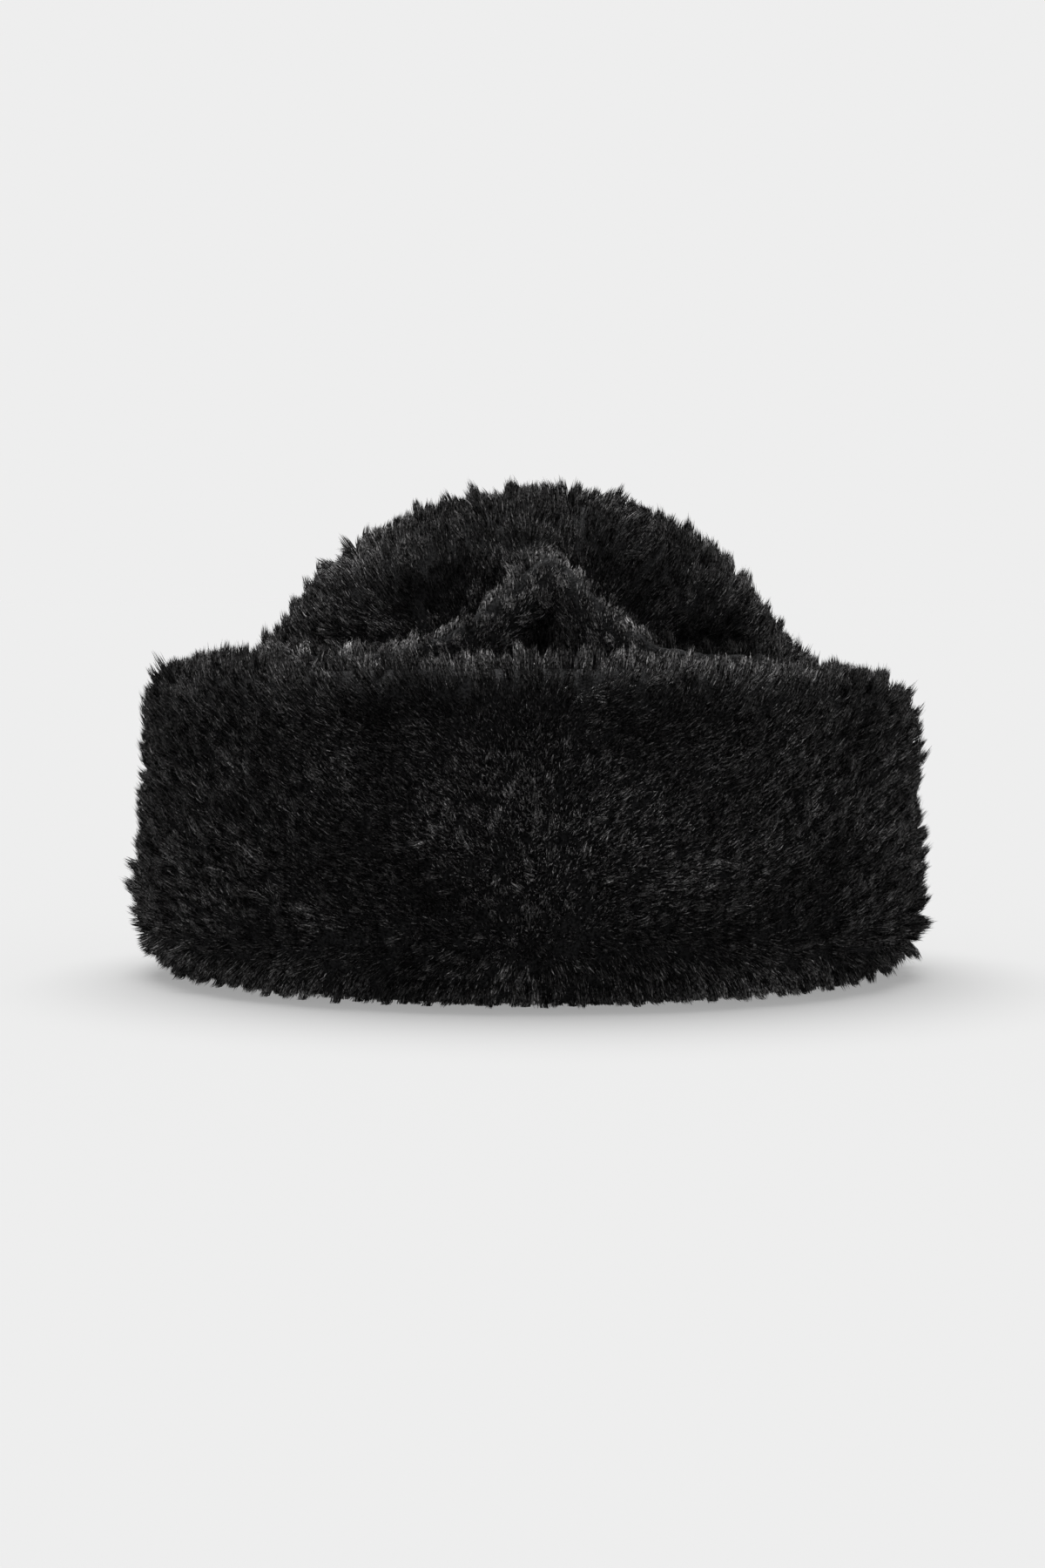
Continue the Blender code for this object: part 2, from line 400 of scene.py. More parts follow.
class Sheet:
    """A curved sheet of cloth, as a grid of points with the way out and the pile's lie at each."""

    def __init__(self, points: Array, **pile: Array) -> None:
        """Keeps the grid.

        Args:
            points: rows by columns by 3, in millimetres, ordered so that rows crossed with columns
                point out of the cloth.
            pile: what the pile is like at each point. lie is the way it leans; length is the hairs'
            length, 0 where none grow; lean and cover are shares of its usual lean and closeness,
            and the painted light and shade is a share of its usual brightness; loose is the share of
            hairs that stand between the locks.
        """
        self.points = points
        self.pile = pile
        down = np.gradient(points, axis=0)
        over = np.gradient(points, axis=1)
        self.out = unit(np.cross(down, over))

    def raised(self, height: float) -> Array:
        """The grid's points moved out by a height."""
        return self.points + self.out * height

    def scatter(self, spacing: float, rng: np.random.Generator) -> dict[str, Array]:
        """Places that lie evenly over the sheet, no two closer than a spacing.

        Args:
            spacing: the least distance between two places, in millimetres.
            rng: where the chance comes from.

        Returns:
            What is at each place: its point, the way out, and what the pile is like.
        """
        p = self.points
        area = np.linalg.norm(np.cross(p[1:, 1:] - p[:-1, :-1], p[1:, :-1] - p[:-1, 1:]), axis=-1) / 2.0
        weight = (area * (self.pile["length"][:-1, :-1] > LEAST_LENGTH)).ravel()
        count = int(weight.sum() / spacing**2 * THROWS)
        cell = rng.choice(len(weight), size=count, p=weight / weight.sum())
        row, column = np.unravel_index(cell, area.shape)
        u, v = rng.random(count), rng.random(count)

        def read(grid: Array) -> Array:
            """Reads a grid at each place.

            Args:
                grid: rows by columns, or rows by columns by 3.

            Returns:
                The grid's value at each place, blended from the four points round it.
            """
            shape = (count,) + (1,) * (grid.ndim - 2)
            a, b = u.reshape(shape), v.reshape(shape)
            low = grid[row, column] * (1.0 - b) + grid[row, column + 1] * b
            high = grid[row + 1, column] * (1.0 - b) + grid[row + 1, column + 1] * b
            return low * (1.0 - a) + high * a

        found = {name: read(grid) for name, grid in self.pile.items()}
        found["point"] = read(self.points)
        found["out"] = unit(read(self.out))
        keep = thin_out(found["point"], spacing)
        return {name: values[keep] for name, values in found.items()}


def thin_out(points: Array, spacing: float) -> Array:
    """Chooses points, in the order given, so that no two are closer than a spacing.

    Args:
        points: count by 3.
        spacing: the least distance between two points.

    Returns:
        The numbers of the points that are kept.
    """
    cells: dict[tuple[int, int, int], list[tuple[float, float, float]]] = {}
    kept = []
    steps = (-1, 0, 1)
    near = [(a, b, c) for a in steps for b in steps for c in steps]
    keys = np.floor(points / spacing).astype(int).tolist()
    limit = spacing * spacing
    for number, ((x, y, z), (i, j, k)) in enumerate(zip(points.tolist(), keys)):
        others = (other for a, b, c in near for other in cells.get((i + a, j + b, k + c), ()))
        if all((px - x) ** 2 + (py - y) ** 2 + (pz - z) ** 2 >= limit for px, py, pz in others):
            cells.setdefault((i, j, k), []).append((x, y, z))
            kept.append(number)
    return np.array(kept, int)


@dataclass
class Pile:
    """Locks of fine hairs, with loose hairs between them. Sizes in millimetres."""

    lock_spacing: float = 4.3
    lock_spread: float = 2.1
    density: float = 5.5
    hair_width: float = 0.32
    root_depth: float = 1.2
    gather: float = 0.3
    lean: float = 0.44
    bend: float = 0.5
    middle: float = KNEE
    crown_off: float = 0.04
    hair_variation: float = 0.1
    hair_share: tuple[float, float] = (0.4, 1.25)
    hair_swell: tuple[float, float] = (0.7, 1.25)
    lock_variation: float = 0.19
    lock_tilt: float = 0.14
    lean_variation: float = 0.2
    fan: float = 0.2
    twist: float = 1.0
    wander: float = 0.45
    loose_reach: float = 0.85
    loose_length: float = 0.7
    loose_glow: float = 0.6
    loose_tilt: float = 0.13
    lock_tone: float = 0.12
    lock_contrast: float = 0.25
    tone_shape: tuple[float, float] = (0.62, 2.7)
    seam_clear: float = 0.03
    floor_clear: float = 0.7
    floor_press: float = 0.5

    def grow(self, places: dict[str, Array], half: Half, rng: np.random.Generator) -> tuple[Array, Array]:
        """Grows the hairs of every lock, each a kite with a bend in its middle.

        Args:
            places: what is at each lock, as scatter gives it.
            half: the side of the seam, which no hair's root crosses.
            rng: where the chance comes from.

        Returns:
            The hairs' corners (hairs by 4 by 3: root, two in the middle, tip) and each hair's tone, with its
            painted light and shade.
        """
        locks = len(places["point"])
        usual = self.density * self.lock_spacing**2 * LOCK_PACKING
        each = np.round(usual * places["cover"]).astype(int)
        lock = np.repeat(np.arange(locks), each)
        total = len(lock)
        level = unit(
            places["lie"] - places["out"] * np.sum(places["out"] * places["lie"], axis=1, keepdims=True)
        )
        turn = rng.normal(0.0, self.fan, locks)[:, None]
        heading = level * np.cos(turn) + np.cross(places["out"], level) * np.sin(turn)
        lean = self.lean * places["lean"] * (1.0 + rng.normal(0.0, self.lean_variation, locks))
        axis = unit(
            places["out"] + heading * lean[:, None] + rng.normal(0.0, self.lock_tilt, (locks, 3))
        )
        tall = places["length"] * (1.0 + rng.normal(0.0, self.lock_variation, locks))

        out, heading, centre = places["out"][lock], heading[lock], places["point"][lock]
        sideways = np.cross(out, heading)
        loose = rng.random(total) < places["loose"][lock]
        far = np.sqrt(rng.random(total))
        angle = rng.uniform(0.0, 2.0 * math.pi, total)
        reach = far * np.where(loose, self.lock_spacing * self.loose_reach, self.lock_spread)
        away = heading * (reach * np.cos(angle))[:, None] + sideways * (reach * np.sin(angle))[:, None]
        own = 1.0 + rng.normal(0.0, self.hair_variation, total) - self.crown_off * far**2
        long = tall[lock] * np.clip(own, *self.hair_share)
        even = places["length"][lock] * (self.loose_length + rng.normal(0.0, self.hair_variation, total))
        long = np.where(loose, even, long)
        plain = places["out"] + level * (self.lean * places["lean"])[:, None]
        astray = unit(plain[lock] + rng.normal(0.0, self.loose_tilt, (total, 3)))
        way = np.where(loose[:, None], astray, axis[lock])
        gather = np.where(loose, 0.0, self.gather)
        root = centre + away - out * self.root_depth
        tip = (
            centre
            + away * (1.0 - gather)[:, None]
            + way * long[:, None]
            + rng.normal(0.0, self.wander, (total, 3))
        )
        knee = root + out * (self.bend * long)[:, None]
        t = self.middle
        middle = (1.0 - t) ** 2 * root + 2.0 * t * (1.0 - t) * knee + t * t * tip
        for part in (root, middle, tip):
            height = np.maximum(part[:, 2], 0.0)
            low = self.floor_clear + self.floor_press * height
            part[:, 2] = np.maximum(height, low)
        side = half.value
        root[:, 0] = side * np.maximum(side * root[:, 0], self.seam_clear)

        run = unit(tip - root)
        face = unit(np.cross(run, out) + 1e-6)
        spin = rng.normal(0.0, self.twist, total)[:, None]
        face = unit(face * np.cos(spin) + np.cross(run, face) * np.sin(spin))
        wide = self.hair_width * rng.uniform(*self.hair_swell, total)[:, None] * 0.5
        corners = np.stack([root, middle + face * wide, middle - face * wide, tip], axis=1)
        glow = rng.random(locks)[lock]
        tone = 0.5 * self.lock_tone * glow + (1.0 - self.lock_tone) * rng.beta(*self.tone_shape, total)
        tone *= 1.0 + self.lock_contrast * (2.0 * glow - 1.0)
        # Each hair's tone is scaled by the painted light and shade at its lock.
        tone = np.clip(tone * places["painted_light"][lock] * (1.0 + self.loose_glow * loose), 0.0, 1.0)
        return corners, tone

    def dress(
        self,
        node: str,
        parts: dict[str, Array],
        places: dict[str, Array],
        half: Half,
        rng: np.random.Generator,
    ) -> list[bpy.types.Object]:
        """Grows the pile of one half, in parts that each become a piece.

        Args:
            node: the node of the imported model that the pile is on.
            parts: which locks are in each part, with the word for the part.
            places: what is at each lock, as scatter gives it.
            half: the side of the seam.
            rng: where the chance comes from.

        Returns:
            The pieces.
        """
        pieces = []
        for word, chosen in parts.items():
            some = {name: values[chosen] for name, values in places.items()}
            corners, tone = self.grow(some, half, rng)
            data = MeshMaker.hair_mesh(f"{node}_{word}_pile", corners, tone)
            pieces.append(MeshMaker.place(data, node, PileFinish()))
        return pieces


class MeshMaker:
    """Turns arrays into Blender meshes, and puts them on the frame."""

    @staticmethod
    def mesh(name: str, points: Array, faces: Sequence[Array]) -> bpy.types.Mesh:
        """A mesh of points and of faces given as arrays of equal-sided polygons.

        Args:
            name: the mesh's name.
            points: count by 3, in millimetres.
            faces: one array for each number of sides, in the order the loops are laid.

        Returns:
            The mesh.
        """
        data = bpy.data.meshes.new(name)
        loops = np.concatenate([f.ravel() for f in faces]).astype(np.int32)
        sides = np.concatenate([np.full(len(f), f.shape[1], np.int32) for f in faces])
        starts = np.concatenate([[0], np.cumsum(sides)[:-1]]).astype(np.int32)
        data.vertices.add(len(points))
        data.vertices.foreach_set("co", to_metres(points).astype(np.float32).ravel())
        data.loops.add(len(loops))
        data.loops.foreach_set("vertex_index", loops)
        data.polygons.add(len(sides))
        data.polygons.foreach_set("loop_start", starts)
        data.update(calc_edges=True)
        data.shade_smooth()
        return data

    @staticmethod
    def hair_mesh(name: str, corners: Array, tone: Array) -> bpy.types.Mesh:
        """A mesh of hairs, each a kite of two three-sided faces.

        Args:
            name: the mesh's name.
            corners: hairs by 4 by 3, in millimetres.
            tone: each hair's tone, from 0 to 1, with its painted light and shade.

        Returns:
            The mesh, with its tone and along attributes and its map for baking.
        """
        count = len(corners)
        faces = (np.arange(count) * 4)[:, None, None] + np.array([[[0, 1, 2], [2, 1, 3]]])
        faces = faces.reshape(-1, 3)
        data = MeshMaker.mesh(name, corners.reshape(-1, 3), [faces])
        along = np.tile(np.array([0.0, KNEE, KNEE, 1.0], np.float32), count)
        data.attributes.new("along", "FLOAT", "POINT").data.foreach_set("value", along)
        tones = np.repeat(tone, 4).astype(np.float32)
        data.attributes.new("tone", "FLOAT", "POINT").data.foreach_set("value", tones)
        offset = np.array([0.5, 1.0, 0.0, 0.5]) * HAIR_STRIP
        u = HAIR_MARGIN + HAIR_TONES * np.repeat(tone, 4) + np.tile(offset, count)
        v = HAIR_MARGIN + (1.0 - 2.0 * HAIR_MARGIN) * along
        each = np.stack([u, v], axis=1).astype(np.float32)
        data.uv_layers.new(name=BAKE_MAP).data.foreach_set("uv", each[faces.ravel()].ravel())
        return data

    @staticmethod
    def grid_mesh(name: str, points: Array, size: tuple[float, float] = (1.0, 1.0)) -> bpy.types.Mesh:
        """A mesh of a grid of points, with its map for baking and one in millimetres for its knit.

        Args:
            name: the mesh's name.
            points: rows by columns by 3, in millimetres.
            size: the grid's length along its columns and its rows, in millimetres.

        Returns:
            The mesh.
        """
        rows, columns = points.shape[:2]
        index = np.arange(rows * columns).reshape(rows, columns)
        quads = np.stack([index[:-1, :-1], index[1:, :-1], index[1:, 1:], index[:-1, 1:]], axis=-1)
        quads = quads.reshape(-1, 4)
        data = MeshMaker.mesh(name, points.reshape(-1, 3), [quads])
        u, v = np.meshgrid(np.linspace(0.0, 1.0, columns), np.linspace(0.0, 1.0, rows))
        share = np.stack([u.ravel(), v.ravel()], axis=1).astype(np.float32)
        order = quads.ravel()
        baked = GRID_MARGIN + (1.0 - 2.0 * GRID_MARGIN) * share
        data.uv_layers.new(name=BAKE_MAP).data.foreach_set("uv", baked[order].ravel())
        knit = share * np.array(size, np.float32)
        data.uv_layers.new(name=KNIT_MAP).data.foreach_set("uv", knit[order].ravel())
        return data

    @staticmethod
    def place(data: bpy.types.Mesh, node: str, finish: Finish) -> bpy.types.Object:
        """Puts a mesh in the scene in place of a node.

        Args:
            data: the mesh.
            node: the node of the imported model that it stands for.
            finish: its finish.

        Returns:
            The piece.
        """
        data.materials.append(finish.material())
        piece = bpy.data.objects.new(data.name, data)
        bpy.context.scene.collection.objects.link(piece)
        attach(piece, BODY)
        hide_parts(node)
        LOG.info("%s: %d faces", piece.name, len(data.polygons))
        return piece

    @staticmethod
    def cloth(
        name: str, points: Array, node: str, finish: Finish, size: tuple[float, float] = (1.0, 1.0)
    ) -> bpy.types.Object:
        """Makes a grid of points into a piece; see grid_mesh and place."""
        return MeshMaker.place(MeshMaker.grid_mesh(name, points, size), node, finish)


@dataclass(frozen=True)
class Stroke:
    """A soft patch of painted light on the front, or of painted shade where its amount is below 0."""

    x: float
    z: float
    wide: float
    tall: float
    amount: float
    slope: float = 0.0
    front: Ramp = Ramp(12.0, -36.0)

    def at(self, points: Array) -> Array:
        """Works out what the patch paints.

        Args:
            points: points of the cloth.

        Returns:
            The painted light it adds to the brightness at each point, as a share; less than 0 where it
            paints shade.
        """
        across = points[..., 0] - self.x
        up = points[..., 2] - self.z - self.slope * across
        near = np.exp(-((across / self.wide) ** 2) - (up / self.tall) ** 2)
        return self.amount * near * self.front.at(points[..., 1])


@dataclass
class Fold:
    """The crown's fold: a ridge like a tent over the front, dents behind it and a panel under it."""

    foot: float = 112.5
    peak: float = 33.5
    point: float = 1.5
    middle: float = 6.5
    reach_left: float = 28.5
    reach_right: float = 22.0
    swell: float = 5.0
    swell_width: float = 7.0
    dent_depth: float = 46.0
    dent_edge: float = 6.0
    dent_fade: float = 1.5
    side_fade: float = 26.0
    seam_hold: float = 0.72
    seam_hold_width: float = 9.0
    panel_depth: float = 9.0
    panel_below: float = 7.0
    panel_rise: float = 9.0
    panel_width: float = 19.0
    panel_foot: float = 100.0
    front_fade: float = 46.0

    def ridge(self, x: Array) -> Array:
        """Height of the ridge at a distance x from the seam."""
        reach = np.where(x < self.middle, self.reach_left, self.reach_right)
        return self.foot + self.peak * np.exp(-(np.abs((x - self.middle) / reach) ** self.point))

    def sink(self, x: Array, y: Array, z: Array, skyline: Array) -> Array:
        """How far the cloth lies inside the plain dome.

        Args:
            x, y, z: points of the plain dome.
            skyline: the dome's height over each x.

        Returns:
            The depth at each point, less than 0 where the cloth stands proud.
        """
        ridge = self.ridge(x)
        room = np.maximum(skyline - ridge, 1e-6)
        held = 1.0 - self.seam_hold * np.exp(-((x / self.seam_hold_width) ** 2))
        above = np.clip((z - ridge) / room, 0.0, 1.0)
        shape = (1.0 - (1.0 - above) ** self.dent_edge) * (1.0 - above) ** self.dent_fade
        dent = self.dent_depth * shape * held * smooth((skyline - ridge) / self.side_fade)
        front = smooth(-y / self.front_fade)
        proud = self.swell * front * np.exp(-(((z - ridge) / self.swell_width) ** 2))
        under = smooth((ridge - z - self.panel_below) / self.panel_rise)
        under *= smooth((z - self.panel_foot) / self.panel_rise)
        panel = self.panel_depth * front * under * np.exp(-((x / self.panel_width) ** 2))
        return np.where(y < 0.0, dent - proud + panel, 0.0)


@dataclass(frozen=True)
class CrownPaintedLight:
    """The painted light and shade on the crown's pile: a painted highlight along the fold's ridge, painted
    shade in the dents behind it.
    """

    # Every amount here paints light or shade: crest is a painted highlight along the ridge; dent and panel
    # paint shade in the dents and on the panel under the ridge; top paints shade towards the top; left
    # paints light on the front's left side; high_left and high_right paint slight shade high on the dome;
    # back paints shade behind; foot paints shade low down, by the cuff; patch varies the tone at random.
    usual: float = 1.1
    front: Ramp = Ramp(0.0, -30.0)
    crest: float = 2.25
    crest_band: Hump = Hump(-1.0, 10.0)
    crest_right: Ramp = Ramp(38.0, 14.0)
    crest_left: Ramp = Ramp(-54.0, -18.0)
    dent: float = 0.55
    dent_from: Ramp = Ramp(7.0, 8.0)
    dent_to: Ramp = Ramp(24.0, 24.0)
    dent_middle: float = 1.0
    dent_aside: Ramp = Ramp(8.0, 14.0)
    panel: float = 0.35
    panel_from: Ramp = Ramp(-9.0, -8.0)
    panel_middle: float = 4.0
    panel_aside: Ramp = Ramp(12.0, 14.0)
    top: float = 0.22
    top_from: Ramp = Ramp(125.0, 30.0)
    left: float = 0.85
    left_from: Ramp = Ramp(-30.0, -30.0)
    high_from: Ramp = Ramp(138.0, 14.0)
    high_left: float = -0.1
    high_left_from: Ramp = Ramp(-4.0, -16.0)
    high_right: float = 0.2
    high_right_from: Ramp = Ramp(14.0, 16.0)
    back: float = 0.2
    back_from: Ramp = Ramp(0.0, 40.0)
    foot: float = 0.3
    foot_to: Ramp = Ramp(98.0, 13.0)
    patch: float = 0.3
    patch_seed: int = 23
    patch_size: float = 15.0
    # Patches of painted light and shade on the front.
    strokes: tuple[Stroke, ...] = (
        Stroke(66.0, 119.0, 23.0, 9.0, -1.0),
        Stroke(68.0, 138.0, 14.0, 9.0, 0.35),
        Stroke(80.0, 130.0, 10.0, 10.0, 0.4),
        Stroke(2.0, 122.0, 8.0, 10.0, -0.85),
        Stroke(-20.0, 120.0, 8.0, 7.0, 0.9),
        Stroke(-38.0, 116.0, 16.0, 7.0, 1.6),
        Stroke(-80.0, 116.0, 17.0, 9.0, -0.8),
        Stroke(-46.0, 136.0, 20.0, 9.0, -0.65),
        Stroke(-38.0, 157.0, 22.0, 9.0, 0.5),
    )

    def at(self, points: Array, above: Array) -> Array:
        """Works out the painted light and shade.

        Args:
            points: points of the cloth.
            above: the height of each above the fold's ridge.

        Returns:
            The painted brightness at each point, as a share of the pile's own.
        """
        x, y, z = points[..., 0], points[..., 1], points[..., 2]
        front = self.front.at(y)
        crest = self.crest_band.at(above)
        crest = crest * (1.0 - self.crest_right.at(x)) * (1.0 - self.crest_left.at(x))
        dent = self.dent_from.at(above) * (1.0 - self.dent_to.at(above))
        dent *= self.dent_aside.at(np.abs(x - self.dent_middle))
        panel = self.panel_from.at(above) * (1.0 - self.panel_aside.at(np.abs(x - self.panel_middle)))
        base = self.usual - self.top * self.top_from.at(z)
        base += front * self.left * self.left_from.at(x)
        sides = self.high_left * self.high_left_from.at(x) - self.high_right * self.high_right_from.at(x)
        base += front * self.high_from.at(z) * sides
        base += sum(painted_patch.at(points) for painted_patch in self.strokes)
        patch = Drift(self.patch_seed, self.patch_size).at(points)
        place = (1.0 - self.back * self.back_from.at(y)) * (1.0 + self.patch * patch)
        place = place * (self.foot + (1.0 - self.foot) * self.foot_to.at(z))
        return place * (base + front * (self.crest * crest - self.dent * dent - self.panel * panel))


@dataclass
class Crown:
    """The domed crown: two halves of knit with pile, joined along the middle seam."""

    half_width: float = 97.0
    half_depth: float = 92.0
    middle_height: float = 73.0
    rise: float = 96.0
    foot: float = 12.0
    right_extra: float = -0.6
    shoulder: float = 1.3
    shoulder_band: Hump = Hump(70.0, 18.0)
    settle: float = 2.2
    settle_band: Hump = Hump(-22.0, 40.0)
    flare: float = 3.0
    flare_to: Ramp = Ramp(126.0, -18.0)
    cloth: float = 3.0
    under_pile: float = 4.0
    core_lift: float = 1.6
    pile_length: float = 7.6
    pile_from: Ramp = Ramp(86.0, 6.0)
    foot_cover: float = 0.45
    cover_from: Ramp = Ramp(97.0, 8.0)
    seam_reach: float = 26.0
    parting: float = 0.35
    parting_drift: float = 0.45
    drift_seed: int = 31
    drift_size: float = 55.0
    top_lean: float = 0.7
    side_lean: float = 1.0
    side_lean_from: Ramp = Ramp(0.3, 0.6)
    crest_trim: float = 0.3
    crest_band: Hump = Hump(0.0, 9.0)
    crest_front: Ramp = Ramp(0.0, -30.0)
    crest_aside: Ramp = Ramp(68.0, 20.0)
    loose: float = 0.62
    loose_less: float = 0.4
    loose_middle: Hump = Hump(0.0, 30.0)
    front_to: float = -8.0
    columns: int = 64
    rows: int = 130
    wall_rows: int = 12
    wall_map: float = 60.0
    fold: Fold = field(default_factory=Fold)
    # The painted light and shade on the crown's pile.
    painted_light: CrownPaintedLight = CrownPaintedLight()
    pile: Pile = field(default_factory=lambda: Pile(lock_contrast=0.5))
    cut: tuple[float, float] = (308.0, 155.0)
    cut_area: float = 28600.0

    def form(self, half: Half, out: float) -> Array:
        """The grid of one half, from its foot at the front over the dome to its foot at the back.

        Args:
            half: which half.
            out: the distance outside the cloth's outer face.

        Returns:
            Columns from the seam to the side, by rows from front to back, by 3.
        """
        across = np.linspace(0.0, 1.0, self.columns)[:, None] * half.value
        along = np.linspace(-1.0, 1.0, self.rows)[None, :]
        disc_x = across * np.sqrt(1.0 - along**2 / 2.0)
        disc_y = along * np.sqrt(1.0 - across**2 / 2.0)
        lean = np.minimum(1.0, np.hypot(disc_x, disc_y)) * math.pi / 2.0
        turn = np.arctan2(disc_x, -disc_y)
        x = self.widest(half) * np.sin(lean) * np.sin(turn)
        y = -self.half_depth * np.sin(lean) * np.cos(turn)
        z = self.middle_height + self.rise * np.cos(lean)
        way = unit(
            np.stack(
                [
                    x / self.half_width**2,
                    y / self.half_depth**2,
                    (z - self.middle_height) / self.rise**2,
                ],
                axis=-1,
            )
        )
        level = np.clip(1.0 - (x / self.half_width) ** 2, 0.0, 1.0)
        skyline = self.middle_height + self.rise * np.sqrt(level)
        sink = self.fold.sink(x, y, z, skyline)
        proud = self.proud(x, z) if out > 0.0 else 0.0
        points = np.stack([x, y, z], axis=-1) + way * (out - sink + proud)[..., None]
        points[..., 0] = half.value * np.maximum(half.value * points[..., 0], 0.0)
        return points

    def proud(self, x: Array, z: Array) -> Array:
        """Works out how far the outer face stands outside the plain dome.

        Args:
            x: the distance of each point from the seam.
            z: the height of each point.

        Returns:
            The distance at each point: more at the sides and the shoulders.
        """
        flare = self.flare * self.flare_to.at(z) * smooth(np.abs(x) / self.half_width)
        shoulder = self.shoulder * self.shoulder_band.at(np.abs(x))
        return flare + shoulder - self.settle * self.settle_band.at(x)

    def widest(self, half: Half) -> float:
        """The distance from the seam to the dome's edge at the side."""
        return self.half_width + (self.right_extra if half is Half.RIGHT else 0.0)

    def wall(self, half: Half, out: float) -> Array:
        """The grid of one half's wall, from the dome's edge down to its foot.

        Args:
            half: which half.
            out: the distance outside the cloth's outer face.

        Returns:
            Rows from the edge to the foot, by columns from front to back, by 3.
        """
        turn = np.linspace(0.0, math.pi, self.rows)
        x = half.value * self.widest(half) * np.sin(turn)
        y = -self.half_depth * np.cos(turn)
        way = unit(np.stack([x / self.half_width**2, y / self.half_depth**2, 0.0 * turn], axis=-1))
        height = np.full_like(turn, self.middle_height)
        proud = self.proud(x, height) if out > 0.0 else np.zeros_like(turn)
        edge = np.stack([x, y, height], axis=-1) + way * (out + proud)[:, None]
        down = np.linspace(0.0, self.middle_height - self.foot, self.wall_rows)
        return edge[None, :, :] - down[:, None, None] * np.array([0.0, 0.0, 1.0])

    def lie(self, points: Array, half: Half) -> Array:
        """Works out which way the pile lies: up, outward from the seam, and drifting a little.

        Args:
            points: points of the cloth.
            half: which half they are on.

        Returns:
            The way at each point.
        """
        drift = Drift(self.drift_seed + half.value, self.drift_size).at(points)
        up = np.zeros_like(points)
        up[..., 2] = 1.0
        side = np.zeros_like(points)
        side[..., 0] = half.value
        level = smooth(np.abs(points[..., 0]) / self.seam_reach)
        level = level * (self.parting + self.parting_drift * drift) * (1.0 - self.crest(points))
        return up + side * level[..., None]

    def lean(self, points: Array) -> Array:
        """How far the pile leans over: more down the sides, where it still stands nearly upright."""
        across = np.hypot(points[..., 0] / self.half_width, points[..., 1] / self.half_depth)
        return self.top_lean + self.side_lean * self.side_lean_from.at(across)

    def above(self, points: Array) -> Array:
        """The height of each point above the fold's ridge."""
        return points[..., 2] - self.fold.ridge(points[..., 0])

    def crest(self, points: Array) -> Array:
        """How near each point is to the fold's ridge, from 0 to 1."""
        near = 1.0 - self.crest_aside.at(np.abs(points[..., 0]))
        return self.crest_band.at(self.above(points)) * self.crest_front.at(points[..., 1]) * near

    def trim(self, points: Array) -> Array:
        """The pile's length as a share of its usual length: shorter along the fold's ridge."""
        return 1.0 - self.crest_trim * self.crest(points)

    def build(self, half: Half, rng: np.random.Generator) -> list[bpy.types.Object]:
        """Builds and dresses one half.

        Args:
            half: which half.
            rng: where the chance comes from.

        Returns:
            The half's pieces.
        """
        node = f"crown_{half.label}"
        side = half.value
        raised = self.under_pile + self.core_lift
        under, knit = UnderPileFinish(), KnitFinish()
        core = turned(self.form(half, raised), side)
        pieces = [MeshMaker.cloth(f"{node}_under_pile", core, node, under)]
        outer_wall = turned(self.wall(half, raised), side, 1)
        pieces.append(MeshMaker.cloth(f"{node}_side", outer_wall, node, under))
        arc = math.pi * self.half_width
        inner = turned(self.form(half, -self.cloth), -side)
        ground = MeshMaker.cloth(f"{node}_knit", inner, node, knit, (arc, arc / 2.0))
        pieces.append(ground)
        inner_wall = turned(self.wall(half, -self.cloth), -side, 1)
        wall = MeshMaker.cloth(f"{node}_knit_wall", inner_wall, node, knit, (arc, self.wall_map))
        pieces.append(wall)
        outer = turned(self.form(half, self.under_pile), side)
        y, z = outer[..., 1], outer[..., 2]
        kept = np.maximum(self.crest(outer), self.loose_middle.at(y))
        sheet = Sheet(
            outer,
            lie=self.lie(outer, half),
            length=self.pile_length * self.pile_from.at(z) * self.trim(outer),
            lean=self.lean(outer),
            cover=self.foot_cover + (1.0 - self.foot_cover) * self.cover_from.at(z),
            painted_light=self.painted_light.at(outer, self.above(outer)),
            loose=self.loose - self.loose_less * kept,
        )
        places = sheet.scatter(self.pile.lock_spacing, rng)
        front = places["point"][:, 1] < self.front_to
        return pieces + self.pile.dress(node, {"front": front, "back": ~front}, places, half, rng)


@dataclass(frozen=True)
class Station:
    """One station of the cuff's section: the oval's half sizes and height, and the pile there.

    The pile has a length, a lean, a cover, and a lie given as a rise and a way round from the front.
    """

    width: float
    depth: float
    height: float
    pile: float = 0.0
    lean: float = 1.0
    cover: float = 1.0
    rise: float = 0.0
    level: float = 0.0

    def numbers(self) -> list[float]:
        """The station as a row of numbers, in the order of its fields."""
        return [getattr(self, one.name) for one in fields(self)]


